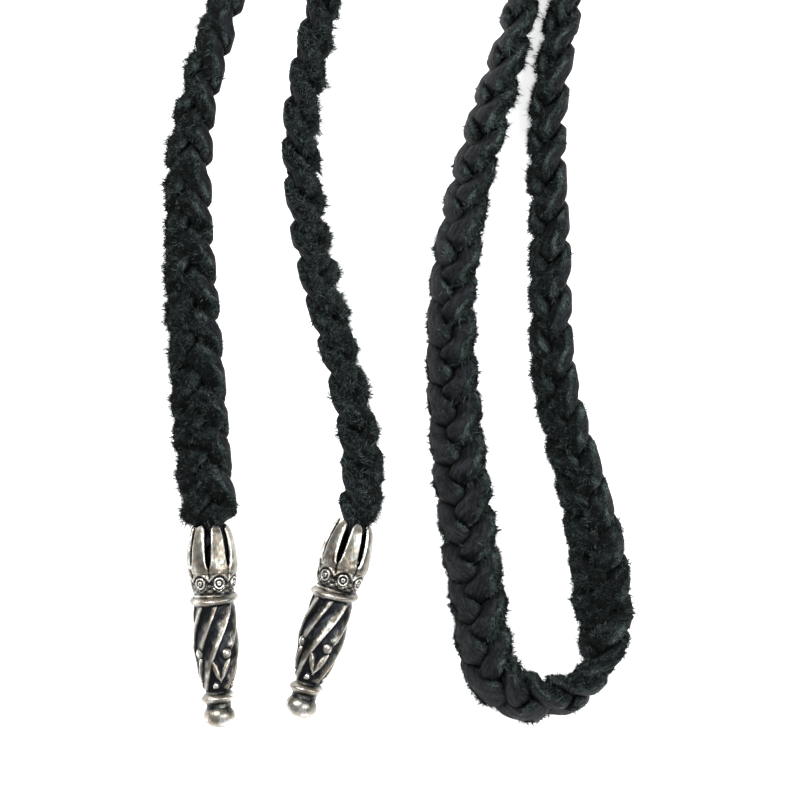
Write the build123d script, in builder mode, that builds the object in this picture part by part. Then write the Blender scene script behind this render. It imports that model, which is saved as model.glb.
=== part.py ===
from build123d import *
from math import asin, cos, pi, radians, sin, sqrt, tan
import os

# A leather cord necklace: a flat plait of three soft laces, about a metre long, with a cast
# silver tip on each end. It lies on a flat surface, folded double and arched over, as it is
# laid out to be looked at. Millimetres, +Z up, +Y away from the tips, surface at Z = 0.

# The plait. Its width is twice the swing plus a lace, its thickness what the oval leaves.
PLAIT_PITCH = 22.0          # length in which a lace comes back to the same edge
LACE_SWING = 3.2            # how far a lace swings to each side of the middle
LACE_WEAVE = 1.88           # how far it rises over and dips under the other two
LACE_WIDTH = 3.8            # across one lace
LACE_THICKNESS = 2.7        # grain face to flesh face
LACE_CLEARANCE = 0.32       # least gap between two laces
LACE_FACET_COUNT = 12       # sections of a lace in one pitch
LACE_FLATNESS = 1.35        # how much wider than thick the room is that each lace takes
PLAIT_OVAL_WIDTH = 11.2     # the oval that the pressed plait's outer corners keep inside
PLAIT_OVAL_THICKNESS = 6.3

# The cast tips, measured along their own axis from the mouth.
CALYX_LENGTH = 8.9          # mouth to the lower edge of the claws
CALYX_RADIUS = 4.85         # at the belly
CALYX_MOUTH_RADIUS = 3.25   # over the tips of the claws
CLAW_COUNT = 7
CLAW_THICKNESS = 0.65       # at the mouth
SOCKET_DEPTH = 9.6
SOCKET_FLOOR_RADIUS = 3.0
SLOT_WIDTH = 1.4            # between two claws, under their rounded tips
BAND_LENGTH = 4.0           # the band under the claws, with a punch mark below each
BAND_FOOT_RADIUS = 4.0
PUNCH_COUNT = CLAW_COUNT
PUNCH_RADIUS = 0.75
COLLAR_RADIUS = 4.55
COLLAR_THICKNESS = 1.8
NECK_RADIUS = 3.6
STEM_LENGTH = 16.4          # the body with the carved ribs
STEM_RADIUS = 3.9           # between its ribs, at the belly
STEM_FOOT_RADIUS = 2.35
RIB_COUNT = 4
RIB_THICKNESS = 0.95
RIB_TWIST = 105             # degrees that a rib turns from collar to ring
RING_RADIUS = 3.25
RING_THICKNESS = 1.9
BALL_RADIUS = 2.95
BALL_LENGTH = 4.4
BALL_NECK_LENGTH = 0.35     # between the ring and the ball
RING_TILT = 9               # degrees that the collar and the ring lean, as cast

# Where the plait meets the tips.
SEAT_DEPTH = 8.0            # of plait inside a socket
SEAT_CLEARANCE = 0.15
SQUEEZE_LENGTH = 3.2        # of plait that narrows, just outside the mouth
RISE_LENGTH = 18.0          # of plait that lifts from the surface up to the mouth

# The lie of the cord, from inside the right tip round to inside the left tip: points that the
# curve is drawn towards, and the roll of the plait there in degrees about its own run.
ROUTE = [
    # x, y, roll
    (-10.45, -30.23, 140), (-8.86, -24.96, 140), (-7.27, -19.7, 138), (-6.6, -11.0, 134),
    (-8.9, 0.0, 126), (-11.9, 11.0, 120), (-14.8, 21.5, 117), (-17.1, 32.0, 115),
    (-18.5, 43.0, 113), (-18.6, 54.0, 111), (-16.2, 65.0, 108), (-13.2, 79.0, 104),
    (-9.4, 95.0, 98), (-6.1, 113.0, 84), (-4.0, 132.0, 60), (-3.0, 152.0, 34),
    (1.2, 171.0, 14), (12.0, 184.2, 2), (27.0, 185.4, -6), (39.5, 174.5, -18),
    (43.6, 156.0, -34), (41.0, 137.0, -52), (34.6, 116.5, -66), (28.2, 97.5, -70),
    (24.2, 81.0, -70), (21.1, 67.0, -66), (17.0, 54.5, -56), (13.3, 42.0, -46),
    (10.7, 29.5, -36), (9.3, 17.0, -28), (9.6, 5.0, -26), (10.5, -7.0, -22),
    (11.8, -19.0, -20), (13.6, -31.0, -18), (15.0, -41.0, -20), (15.8, -48.4, -24),
    (18.9, -53.8, -30), (25.8, -55.8, -42), (33.2, -54.0, -68), (37.7, -48.4, -108),
    (38.0, -41.0, -156), (37.1, -31.0, -176), (35.0, -20.0, -170), (31.9, -9.0, -158),
    (28.7, 2.0, -146), (27.8, 14.0, -136), (28.1, 26.0, -130), (27.3, 38.0, -124),
    (27.1, 50.0, -120), (28.6, 62.0, -116), (30.8, 75.0, -114), (36.2, 91.0, -118),
    (43.4, 108.5, -130), (50.4, 127.0, -148), (55.8, 146.0, -164), (57.6, 166.0, -174),
    (51.0, 184.5, -180), (36.5, 196.5, -184), (17.5, 199.5, -188), (0.0, 191.5, -194),
    (-12.0, 176.0, -202), (-17.2, 157.0, -212), (-18.0, 137.0, -222), (-19.8, 118.0, -232),
    (-24.2, 100.0, -238), (-29.6, 83.5, -240), (-33.4, 69.0, -238), (-37.5, 57.0, -232),
    (-39.1, 45.0, -224), (-39.1, 33.0, -216), (-38.7, 21.0, -209), (-37.7, 9.0, -204),
    (-37.0, -2.5, -200), (-36.4, -12.0, -198), (-35.19, -19.94, -198),
    (-34.95, -25.44, -198), (-34.71, -30.93, -198),
]
LAYOUT_CENTRE = (8.6, 70.7)     # middle of the laid out necklace, which becomes the origin
SPAN_STEPS = 24                 # steps in which one stretch of the curve is measured

CLAW_SIDE = {"right_tip": 40, "left_tip": 34}   # degrees that each tip is rolled on its axis

# Places along a casting, and how it lies: on the belly of its claws and on its ribs.
belly_at = 0.79 * CALYX_LENGTH
collar_at = CALYX_LENGTH + BAND_LENGTH + COLLAR_THICKNESS / 2
stem_at = collar_at + COLLAR_THICKNESS / 2
ring_at = stem_at + STEM_LENGTH + RING_THICKNESS / 2
ball_at = ring_at + RING_THICKNESS / 2 + BALL_NECK_LENGTH + BALL_LENGTH / 2
rib_belly_at = stem_at + 0.6 * STEM_LENGTH
rib_reach = STEM_RADIUS + RIB_THICKNESS / 2
tip_dip = asin((CALYX_RADIUS - rib_reach) / (rib_belly_at - belly_at))
mouth_height = CALYX_RADIUS / cos(tip_dip) + belly_at * sin(tip_dip)

# What the flat facets of two crossing laces may cut across, added to their clearance.
facet_sag = LACE_WEAVE * (1 - cos(2 * pi / LACE_FACET_COUNT))
facet_sag += LACE_SWING * (1 - cos(pi / LACE_FACET_COUNT))
lace_hold_back = LACE_CLEARANCE + facet_sag
facet_length = PLAIT_PITCH / LACE_FACET_COUNT


def oval_reach(x, y, dx, dy, narrow, thin):
    """How many times (dx, dy) can be added to (x, y) before it leaves the plait's oval."""
    a = narrow * PLAIT_OVAL_WIDTH / 2
    b = thin * PLAIT_OVAL_THICKNESS / 2
    square = (dx / a) ** 2 + (dy / b) ** 2
    cross = x * dx / a**2 + y * dy / b**2
    rest = (x / a) ** 2 + (y / b) ** 2 - 1
    return (-cross + sqrt(max(cross**2 - square * rest, 0.0))) / square


# The plait's own section: where the three laces are, and how far each may reach.
def lace_section(lace, turn, narrow=1.0, thin=1.0):
    """Four corners of a lace across the plait, each held back from the other two laces."""
    centres = []
    for other in range(3):
        angle = turn + 2 * pi * other / 3
        centres.append((narrow * LACE_SWING * sin(angle), -thin * LACE_WEAVE * sin(2 * angle)))
    flatness = LACE_FLATNESS * narrow / thin
    x, y = centres[lace]
    corners = []
    for across, through in ((1, 1), (-1, 1), (-1, -1), (1, -1)):
        dx = across * narrow * LACE_WIDTH / 2
        dy = through * thin * LACE_THICKNESS / 2
        reach = 1.0
        for other in range(3):
            if other == lace:
                continue
            ox = (centres[other][0] - x) / flatness**2
            oy = centres[other][1] - y
            apart = sqrt((ox * flatness) ** 2 + oy**2)
            toward = (dx * ox + dy * oy) / apart
            if toward > 0:
                reach = min(reach, (apart - lace_hold_back) / 2 / toward)
        reach = min(reach, oval_reach(x, y, dx, dy, narrow, thin))
        corners.append((x + reach * dx, y + reach * dy))
    return corners


plait_outline = [
    corner
    for i in range(LACE_FACET_COUNT)
    for lace in range(3)
    for corner in lace_section(lace, 2 * pi * i / LACE_FACET_COUNT)
]
plait_half_width = max(x for x, y in plait_outline)
plait_half_thickness = max(y for x, y in plait_outline)
plait_fullness = max(
    sqrt((x / plait_half_width) ** 2 + (y / plait_half_thickness) ** 2) for x, y in plait_outline
)


def curve_weights(f):
    """Shares of four neighbouring points in a smooth curve, f of the way along a stretch."""
    return (
        (1 - f) ** 3 / 6,
        (3 * f**3 - 6 * f**2 + 4) / 6,
        (-3 * f**3 + 3 * f**2 + 3 * f + 1) / 6,
        f**3 / 6,
    )


def smooth(f):
    """0 before 0, 1 after 1, and a soft step between."""
    f = min(max(f, 0.0), 1.0)
    return f * f * (3 - 2 * f)


def traced_route():
    """The route as close steps: distance along it, x, y and roll."""
    first = [2 * a - b for a, b in zip(ROUTE[0], ROUTE[1])]
    last = [2 * a - b for a, b in zip(ROUTE[-1], ROUTE[-2])]
    points = [first, *ROUTE, last]
    steps = []
    run = 0.0
    for span in range(len(points) - 3):
        near = points[span : span + 4]
        for step in range(SPAN_STEPS):
            shares = curve_weights(step / SPAN_STEPS)
            x, y, roll = (sum(w * p[c] for w, p in zip(shares, near)) for c in range(3))
            if steps:
                run += sqrt((x - steps[-1][1]) ** 2 + (y - steps[-1][2]) ** 2)
            steps.append((run, x, y, roll))
    x, y, roll = ROUTE[-1]
    run += sqrt((x - steps[-1][1]) ** 2 + (y - steps[-1][2]) ** 2)
    steps.append((run, x, y, roll))
    return steps


route_steps = traced_route()
CORD_LENGTH = route_steps[-1][0]


def lying_height(roll):
    """Height of the plait's middle when it rests on the surface at this roll."""
    across = sin(radians(roll))
    through = cos(radians(roll))
    return max(abs(x * across + y * through) for x, y in plait_outline)


def cord_point(run):
    """Middle of the plait and its roll, at this distance along the cord."""
    low, high = 0, len(route_steps) - 1
    while high - low > 1:
        half = (low + high) // 2
        if route_steps[half][0] <= run:
            low = half
        else:
            high = half
    a, b = route_steps[low], route_steps[high]
    f = (run - a[0]) / (b[0] - a[0])
    x, y, roll = (p + (q - p) * f for p, q in zip(a[1:], b[1:]))
    outside = min(run, CORD_LENGTH - run) - SEAT_DEPTH
    in_tip = mouth_height + outside * tan(tip_dip)
    laid = smooth(outside / RISE_LENGTH)
    height = in_tip + (lying_height(roll) - in_tip) * laid
    place = Vector(x - LAYOUT_CENTRE[0], y - LAYOUT_CENTRE[1], height)
    return place, roll


def cord_plane(run):
    """Plane across the plait: its X lies across the plait's width, its Y is the grain side."""
    near, _ = cord_point(max(run - 0.25, 0.0))
    far, _ = cord_point(min(run + 0.25, CORD_LENGTH))
    place, roll = cord_point(run)
    along = (far - near).normalized()
    left = Vector(0, 0, 1).cross(along).normalized()
    upright = along.cross(left)
    grain = upright * cos(radians(roll)) + left * sin(radians(roll))
    return Plane(origin=place, x_dir=grain.cross(along), z_dir=along)


def plait_squeeze(run):
    """Shares of the plait's width and thickness left, where the claws hold it round."""
    outside = min(run, CORD_LENGTH - run) - SEAT_DEPTH - 0.6 * facet_length
    held = (CALYX_MOUTH_RADIUS - CLAW_THICKNESS - SEAT_CLEARANCE) / plait_fullness
    free = smooth(outside / SQUEEZE_LENGTH)
    narrow = held / plait_half_width
    thin = held / plait_half_thickness
    return narrow + (1 - narrow) * free, thin + (1 - thin) * free


def triangle(a, b, c):
    return Face(Wire.make_polygon([a, b, c]))


def lace_solid(lace):
    """One lace from end to end, as flat faces between its sections."""
    count = round(CORD_LENGTH / PLAIT_PITCH * LACE_FACET_COUNT)
    sections = []
    for i in range(count + 1):
        run = CORD_LENGTH * i / count
        across = cord_plane(run)
        turn = 2 * pi * i / LACE_FACET_COUNT
        corners = lace_section(lace, turn, *plait_squeeze(run))
        sections.append([across.from_local_coords(Vector(x, y, 0)) for x, y in corners])
    faces = []
    for here, there in zip(sections, sections[1:]):
        for j in range(4):
            k = (j + 1) % 4
            faces.append(triangle(here[j], here[k], there[k]))
            faces.append(triangle(here[j], there[k], there[j]))
    for end in (sections[0], sections[-1]):
        faces.append(triangle(end[0], end[1], end[2]))
        faces.append(triangle(end[0], end[2], end[3]))
    return Solid(Shell(faces))


# The casting, in its own axes: +Z runs from the mouth of the claws to the ball.
with BuildPart() as claw_slot:
    with BuildSketch(Plane.XZ):
        with BuildLine():
            Spline(
                (-0.62 * SLOT_WIDTH, 0),
                (-0.48 * SLOT_WIDTH, 0.28 * CALYX_LENGTH),
                (-0.46 * SLOT_WIDTH, 0.66 * CALYX_LENGTH),
                (0, 0.9 * CALYX_LENGTH),
            )
            Spline(
                (0, 0.9 * CALYX_LENGTH),
                (0.46 * SLOT_WIDTH, 0.66 * CALYX_LENGTH),
                (0.48 * SLOT_WIDTH, 0.28 * CALYX_LENGTH),
                (0.62 * SLOT_WIDTH, 0),
            )
            Polyline(
                (0.62 * SLOT_WIDTH, 0), (0.62 * SLOT_WIDTH, -1), (-0.62 * SLOT_WIDTH, -1),
                (-0.62 * SLOT_WIDTH, 0),
            )
        make_face()
    extrude(amount=CALYX_RADIUS + 1)

with BuildPart() as rib:
    with BuildLine() as rib_line:
        rib_points = []
        for share, radius_share in ((-0.06, 0.92), (0.2, 1.0), (0.5, 0.99), (0.8, 0.8), (1.05, 0.62)):
            around = radians(RIB_TWIST * share)
            reach = STEM_RADIUS * radius_share
            rib_points.append(
                (reach * cos(around), reach * sin(around), stem_at + STEM_LENGTH * share)
            )
        Spline(*rib_points)
    with BuildSketch(Plane(origin=rib_line.line @ 0, z_dir=rib_line.line % 0)):
        Circle(RIB_THICKNESS / 2)
    sweep()

with BuildPart() as casting:
    with BuildSketch(Plane.XZ):
        with BuildLine():
            Spline(
                (CALYX_MOUTH_RADIUS, 0),
                (0.9 * CALYX_RADIUS, 0.4 * CALYX_LENGTH),
                (CALYX_RADIUS, belly_at),
                (0.965 * CALYX_RADIUS, CALYX_LENGTH),
            )
            Line((0.965 * CALYX_RADIUS, CALYX_LENGTH), (BAND_FOOT_RADIUS, CALYX_LENGTH + BAND_LENGTH))
            Line((BAND_FOOT_RADIUS, CALYX_LENGTH + BAND_LENGTH), (NECK_RADIUS, stem_at))
            Spline(
                (NECK_RADIUS, stem_at),
                (STEM_RADIUS, stem_at + 0.3 * STEM_LENGTH),
                (0.96 * STEM_RADIUS, stem_at + 0.62 * STEM_LENGTH),
                (STEM_FOOT_RADIUS, stem_at + STEM_LENGTH),
            )
            ball_neck_at = ball_at - 0.5 * BALL_LENGTH * sqrt(1 - (STEM_FOOT_RADIUS / BALL_RADIUS) ** 2)
            ball_end = ball_at + BALL_LENGTH / 2
            Line((STEM_FOOT_RADIUS, stem_at + STEM_LENGTH), (STEM_FOOT_RADIUS, ball_neck_at))
            Spline(
                (STEM_FOOT_RADIUS, ball_neck_at),
                (BALL_RADIUS, ball_at),
                (0.7 * BALL_RADIUS, ball_at + 0.36 * BALL_LENGTH),
                (0.3 * BALL_RADIUS, ball_end - 0.03 * BALL_LENGTH),
            )
            Polyline(
                (0.3 * BALL_RADIUS, ball_end - 0.03 * BALL_LENGTH),
                (0, ball_end - 0.02 * BALL_LENGTH),
                (0, SOCKET_DEPTH),
                (SOCKET_FLOOR_RADIUS, SOCKET_DEPTH),
            )
            Spline(
                (SOCKET_FLOOR_RADIUS, SOCKET_DEPTH),
                (0.78 * CALYX_RADIUS, belly_at),
                (CALYX_MOUTH_RADIUS - CLAW_THICKNESS, 0),
            )
            Line((CALYX_MOUTH_RADIUS - CLAW_THICKNESS, 0), (CALYX_MOUTH_RADIUS, 0))
        make_face()
    revolve(axis=Axis.Z)
    with PolarLocations(0, CLAW_COUNT):
        add(claw_slot.part, mode=Mode.SUBTRACT)
    punch_radius_out = (0.965 * CALYX_RADIUS + BAND_FOOT_RADIUS) / 2
    with Locations((0, 0, CALYX_LENGTH + 0.5 * BAND_LENGTH)):
        with PolarLocations(punch_radius_out, PUNCH_COUNT, start_angle=90):
            Sphere(PUNCH_RADIUS, mode=Mode.SUBTRACT)
    with Locations(Location((0, 0, collar_at), (RING_TILT, 0, 0))):
        Torus(COLLAR_RADIUS - COLLAR_THICKNESS / 2, COLLAR_THICKNESS / 2)
    with Locations(Location((0, 0, ring_at), (RING_TILT, 0, 0))):
        Torus(RING_RADIUS - RING_THICKNESS / 2, RING_THICKNESS / 2)
    with PolarLocations(0, RIB_COUNT):
        add(rib.part)


def tip_plane(inner_run, outer_run, roll):
    """Where a casting lies: its mouth on the cord's line, its axis dipping to the ball."""
    inner, _ = cord_point(inner_run)
    outer, _ = cord_point(outer_run)
    run_in = (inner - outer).normalized()
    place, _ = cord_point(outer_run)
    flat = Vector(run_in.X, run_in.Y, 0).normalized()
    axis = flat * cos(tip_dip) - Vector(0, 0, 1) * sin(tip_dip)
    side = Vector(0, 0, 1).cross(flat)
    up = axis.cross(side)
    x_dir = side * cos(radians(roll)) + up * sin(radians(roll))
    return Plane(origin=Vector(place.X, place.Y, mouth_height), x_dir=x_dir, z_dir=axis)


# The three laces.
with BuildPart() as strand_1:
    add(lace_solid(0))
strand_1.part.label = "strand_1"

with BuildPart() as strand_2:
    add(lace_solid(1))
strand_2.part.label = "strand_2"

with BuildPart() as strand_3:
    add(lace_solid(2))
strand_3.part.label = "strand_3"

# The two tips, from the same mould.
with BuildPart() as right_tip:
    with Locations(tip_plane(0.0, SEAT_DEPTH, CLAW_SIDE["right_tip"])):
        add(casting.part)
right_tip.part.label = "right_tip"

with BuildPart() as left_tip:
    with Locations(tip_plane(CORD_LENGTH, CORD_LENGTH - SEAT_DEPTH, CLAW_SIDE["left_tip"])):
        add(casting.part)
left_tip.part.label = "left_tip"

os.makedirs("parts", exist_ok=True)
export_step(strand_1.part, "parts/strand_1.step")
export_step(strand_2.part, "parts/strand_2.step")
export_step(strand_3.part, "parts/strand_3.step")
export_step(right_tip.part, "parts/right_tip.step")
export_step(left_tip.part, "parts/left_tip.step")

pieces = [strand_1.part, strand_2.part, strand_3.part, right_tip.part, left_tip.part]
box = Compound(children=pieces).bounding_box()
print("cord length", round(CORD_LENGTH, 1), "tip length", round(ball_at + BALL_LENGTH / 2, 1))
print("box", [round(v, 2) for v in (*box.min, *box.max)])
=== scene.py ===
import bpy
import numpy as np
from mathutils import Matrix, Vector


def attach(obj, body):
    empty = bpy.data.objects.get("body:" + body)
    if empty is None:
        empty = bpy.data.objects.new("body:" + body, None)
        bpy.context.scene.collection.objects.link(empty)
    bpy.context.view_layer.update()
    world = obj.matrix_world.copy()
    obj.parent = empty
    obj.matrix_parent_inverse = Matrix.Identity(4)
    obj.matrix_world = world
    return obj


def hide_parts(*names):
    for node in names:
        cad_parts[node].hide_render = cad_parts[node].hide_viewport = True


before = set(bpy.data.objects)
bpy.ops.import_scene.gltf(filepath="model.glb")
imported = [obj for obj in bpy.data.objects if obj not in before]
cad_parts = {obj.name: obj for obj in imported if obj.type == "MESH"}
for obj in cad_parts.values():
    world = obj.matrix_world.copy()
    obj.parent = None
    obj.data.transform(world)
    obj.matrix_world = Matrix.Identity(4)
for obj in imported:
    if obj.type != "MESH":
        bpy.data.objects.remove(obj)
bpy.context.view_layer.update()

# The laces. Three strips of soft black hide, smooth grain on one face and suede on the other,
# are plaited over and under each other and pulled snug, so each swells between its neighbours.
# The plait lies in four long legs, and rolls slowly, so now its grain and now its suede is up.
ROUTE = np.array([
    # x, y and roll of the points that the plait is drawn towards, from the right tip to the left
    (-10.45, -30.23, 140), (-8.86, -24.96, 140), (-7.27, -19.7, 138), (-6.6, -11, 134),
    (-8.9, 0, 126), (-11.9, 11, 120), (-14.8, 21.5, 117), (-17.1, 32, 115), (-18.5, 43, 113),
    (-18.6, 54, 111), (-16.2, 65, 108), (-13.2, 79, 104), (-9.4, 95, 98), (-6.1, 113, 84),
    (-4, 132, 60), (-3, 152, 34), (1.2, 171, 14), (12, 184.2, 2), (27, 185.4, -6),
    (39.5, 174.5, -18), (43.6, 156, -34), (41, 137, -52), (34.6, 116.5, -66), (28.2, 97.5, -70),
    (24.2, 81, -70), (21.1, 67, -66), (17, 54.5, -56), (13.3, 42, -46), (10.7, 29.5, -36),
    (9.3, 17, -28), (9.6, 5, -26), (10.5, -7, -22), (11.8, -19, -20), (13.6, -31, -18),
    (15, -41, -20), (15.8, -48.4, -24), (18.9, -53.8, -30), (25.8, -55.8, -42), (33.2, -54, -68),
    (37.7, -48.4, -108), (38, -41, -156), (37.1, -31, -176), (35, -20, -170), (31.9, -9, -158),
    (28.7, 2, -146), (27.8, 14, -136), (28.1, 26, -130), (27.3, 38, -124), (27.1, 50, -120),
    (28.6, 62, -116), (30.8, 75, -114), (36.2, 91, -118), (43.4, 108.5, -130), (50.4, 127, -148),
    (55.8, 146, -164), (57.6, 166, -174), (51, 184.5, -180), (36.5, 196.5, -184),
    (17.5, 199.5, -188), (0, 191.5, -194), (-12, 176, -202), (-17.2, 157, -212), (-18, 137, -222),
    (-19.8, 118, -232), (-24.2, 100, -238), (-29.6, 83.5, -240), (-33.4, 69, -238),
    (-37.5, 57, -232), (-39.1, 45, -224), (-39.1, 33, -216), (-38.7, 21, -209), (-37.7, 9, -204),
    (-37, -2.5, -200), (-36.4, -12, -198), (-35.19, -19.94, -198), (-34.95, -25.44, -198),
    (-34.71, -30.93, -198),
])
LAYOUT_CENTRE = np.array((8.6, 70.7))
SPAN_STEPS = 24  # steps from one point of the route to the next
SEAT_DEPTH = 8.0  # of plait inside a tip
RISE_LENGTH = 18.0  # of plait that lifts from the table up to a tip's mouth
MOUTH_HEIGHT = 5.04
TIP_DIP = np.radians(1.55)


def traced_route():
    """Close steps along the route: distance, and x, y and roll there."""
    first, last = 2 * ROUTE[0] - ROUTE[1], 2 * ROUTE[-1] - ROUTE[-2]
    points = np.vstack([first, ROUTE, last])
    f = np.arange(SPAN_STEPS) / SPAN_STEPS
    shares = np.stack([
        (1 - f) ** 3 / 6,
        (3 * f**3 - 6 * f**2 + 4) / 6,
        (-3 * f**3 + 3 * f**2 + 3 * f + 1) / 6,
        f**3 / 6,
    ])
    spans = len(points) - 3
    near = np.stack([points[i : i + spans] for i in range(4)])
    steps = np.einsum("ks,knc->nsc", shares, near).reshape(-1, 3)
    steps = np.vstack([steps, ROUTE[-1]])
    gaps = np.hypot(*np.diff(steps[:, :2], axis=0).T)
    return np.concatenate([[0.0], np.cumsum(gaps)]), steps


route_run, route_steps = traced_route()
PLAIT_LENGTH = route_run[-1]
TURN_LENGTH = 22.0  # of plait, before each lace is back in its place
TURN_PARTS = 12  # places in a turn where the plait may end
PLAIT_TURNS = round(PLAIT_LENGTH / TURN_LENGTH * TURN_PARTS) / TURN_PARTS
LACE_SWING = 3.1  # how far a lace swings to each side of the middle
LACE_WEAVE = 1.5  # how far it rises over and dips under the other two
LACE_HALF_WIDTH = 3.15
LACE_HALF_THICKNESS = 1.95
LACE_SQUARENESS = 2.7  # 2 is an oval section, more is boxier
LACE_GAP = 0.05
LACE_FLATNESS = 1.25  # how much wider than thick the room is that each lace takes
PLAIT_HALF_WIDTH = 5.4
PLAIT_HALF_THICKNESS = 3.2
HELD_RADIUS = 2.85  # of the plait inside the claws
SWELL_LEAD = 0.1  # inside the mouth, where the plait begins to swell out
SWELL_LENGTHS = 3.6, 1.7  # that it takes to swell out of the right tip and of the left
SOFTNESS = 22  # how sharp the crease is where two laces press together
RINGS = 1900
RING_POINTS = 18
FULLNESS = [
    # distance along the plait, and how full it is there: it was pulled tighter in some places
    (0, 0.84), (40, 0.86), (55, 0.95), (130, 0.92), (350, 0.87), (362, 0.87), (372, 0.94),
    (385, 0.88), (412, 0.89), (441, 1.0), (500, 1.0), (515, 1.04), (526, 1.0), (536, 0.87),
    (560, 0.87), (590, 0.91), (630, 0.86), (900, 0.88), (941, 0.88), (952, 0.97), (962, 0.92),
    (975, 1.0), (1027, 1.0),
]
UNEVENNESS = {
    # what varies along a lace: how much, its seed, and the length of its waves
    "pace": (0.16, 40, 27.0),
    "swing": (0.08, 50, 23.0),
    "tilt": (np.radians(9), 60, 17.0),
    "width": (0.09, 70, 19.0),
    "thickness": (0.10, 80, 11.0),
    "fray": (0.06, 90, 3.0),
    "grain edge": (0.13, 95, 13.0),
    # how strong the paler band on the upturned edges is, partly rubbing and partly painted sheen
    "rubbing and sheen": (0.6, 30, 7.0),
}


def smooth(f):
    """0 before 0, 1 after 1, and a soft step between."""
    f = np.clip(f, 0.0, 1.0)
    return f * f * (3 - 2 * f)


def read_off(table, place):
    """Values at these places, from a table of places and values."""
    return np.interp(place, *np.transpose(table))


def uneven(what, lace, run):
    """How far a lace departs from an even one, slowly and without repeating."""
    amount, seed, length = UNEVENNESS[what]
    draw = np.random.default_rng(seed + lace)
    waves = draw.uniform(0.6, 1.7, 5) / length
    starts = draw.uniform(0, 2 * np.pi, 5)
    total = sum(np.sin(2 * np.pi * run * wave + start) for wave, start in zip(waves, starts))
    return amount * (total / 3)


def field(points, seed, length):
    """Three slow, uneven values over space, so that what is close together is alike."""
    draw = np.random.default_rng(seed)
    total = np.zeros((len(points), 3))
    for _ in range(6):
        wave = draw.normal(0, 1, 3)
        wave *= 2 * np.pi / length / np.linalg.norm(wave) * draw.uniform(0.7, 1.4)
        total += np.sin(points @ wave + draw.uniform(0, 6.28))[:, None] * draw.normal(0, 0.6, 3)
    return total


def outside_tips(run):
    """How far outside the nearer tip, and below zero inside it."""
    return np.minimum(run, PLAIT_LENGTH - run) - SEAT_DEPTH


def plait_squeeze(run):
    """Shares of the plait's width and thickness left, where the claws hold it round."""
    swell_length = np.where(run < PLAIT_LENGTH / 2, *SWELL_LENGTHS)
    free = smooth((outside_tips(run) + SWELL_LEAD) / swell_length)
    narrow = HELD_RADIUS / PLAIT_HALF_WIDTH
    thin = HELD_RADIUS / PLAIT_HALF_THICKNESS
    full = read_off(FULLNESS, run)
    return narrow + (full - narrow) * free, thin + (full - thin) * free


def lace_middles(run):
    """Middles of the three laces across the plait."""
    narrow, thin = plait_squeeze(run)
    middles = []
    for lace in range(3):
        angle = 2 * np.pi * (PLAIT_TURNS * run / PLAIT_LENGTH + lace / 3)
        angle = angle + uneven("pace", lace, run)
        swing = LACE_SWING * (1 + uneven("swing", lace, run))
        middles.append(np.stack([
            narrow * swing * np.sin(angle),
            -thin * LACE_WEAVE * np.sin(2 * angle),
        ], -1))
    return middles


def lace_section(lace, run):
    """Points round one lace in each section of the plait, and what is on each: how hard it is
    pressed, how far aside it lies, and its turn, from -1 on the suede face to 1 on the grain."""
    narrow, thin = plait_squeeze(run)
    middles = lace_middles(run)
    x, y = middles[lace][:, 0:1], middles[lace][:, 1:2]
    around = 2 * np.pi * (np.arange(RING_POINTS) + 0.5) / RING_POINTS
    power = 2 / LACE_SQUARENESS
    side = np.sign(np.cos(around)) * np.abs(np.cos(around)) ** power
    face = np.sign(np.sin(around)) * np.abs(np.sin(around)) ** power
    tilt = uneven("tilt", lace, run)[:, None]
    wide = LACE_HALF_WIDTH * (1 + uneven("width", lace, run))[:, None]
    thick = LACE_HALF_THICKNESS * (1 + uneven("thickness", lace, run))[:, None]
    dx = narrow[:, None] * (wide * side * np.cos(tilt) - thick * face * np.sin(tilt))
    dy = thin[:, None] * (wide * side * np.sin(tilt) + thick * face * np.cos(tilt))
    flatness = (LACE_FLATNESS * narrow / thin)[:, None]
    pressed = 0.0
    for other in range(3):
        if other == lace:
            continue
        ox = (middles[other][:, 0:1] - x) / flatness**2
        oy = middles[other][:, 1:2] - y
        apart = np.sqrt((ox * flatness) ** 2 + oy**2)
        toward = np.maximum((dx * ox + dy * oy) / apart, 0.0)
        pressed = pressed + (2 * toward / (apart - LACE_GAP)) ** SOFTNESS
    a = narrow[:, None] * PLAIT_HALF_WIDTH
    b = thin[:, None] * PLAIT_HALF_THICKNESS
    square = (dx / a) ** 2 + (dy / b) ** 2
    cross = x * dx / a**2 + y * dy / b**2
    rest = (x / a) ** 2 + (y / b) ** 2 - 1
    oval = square / (-cross + np.sqrt(np.maximum(cross**2 - square * rest, 1e-9)))
    reach = (1 + pressed + oval**SOFTNESS) ** (-1 / SOFTNESS)
    contact = reach * pressed ** (1 / SOFTNESS)
    turn = 2 / np.pi * np.arcsin(np.sin(around)) + 0.0 * dx
    return x + reach * dx, y + reach * dy, contact, side + 0.0 * dx, turn


FULL_SIZE_AT = 450.0  # distance from which one turn gives the plait's outline
OUTLINE_STEPS = 24
one_turn = np.linspace(0, PLAIT_LENGTH / PLAIT_TURNS, OUTLINE_STEPS, endpoint=False)
turn_run = FULL_SIZE_AT + one_turn
outline_x, outline_y = (side.ravel() for side in lace_section(0, turn_run)[:2])


def lie_of_plait(run):
    """Middle of the plait and its roll at these distances."""
    x, y, roll = (np.interp(run, route_run, column) for column in route_steps.T)
    roll = np.radians(roll)
    lying = np.abs(
        outline_x * np.sin(roll)[:, None] + outline_y * np.cos(roll)[:, None]
    ).max(1) * read_off(FULLNESS, run)
    outside = outside_tips(run)
    in_tip = MOUTH_HEIGHT + outside * np.tan(TIP_DIP)
    height = in_tip + (lying - in_tip) * smooth(outside / RISE_LENGTH)
    return np.stack([x - LAYOUT_CENTRE[0], y - LAYOUT_CENTRE[1], height], -1), roll


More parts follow.
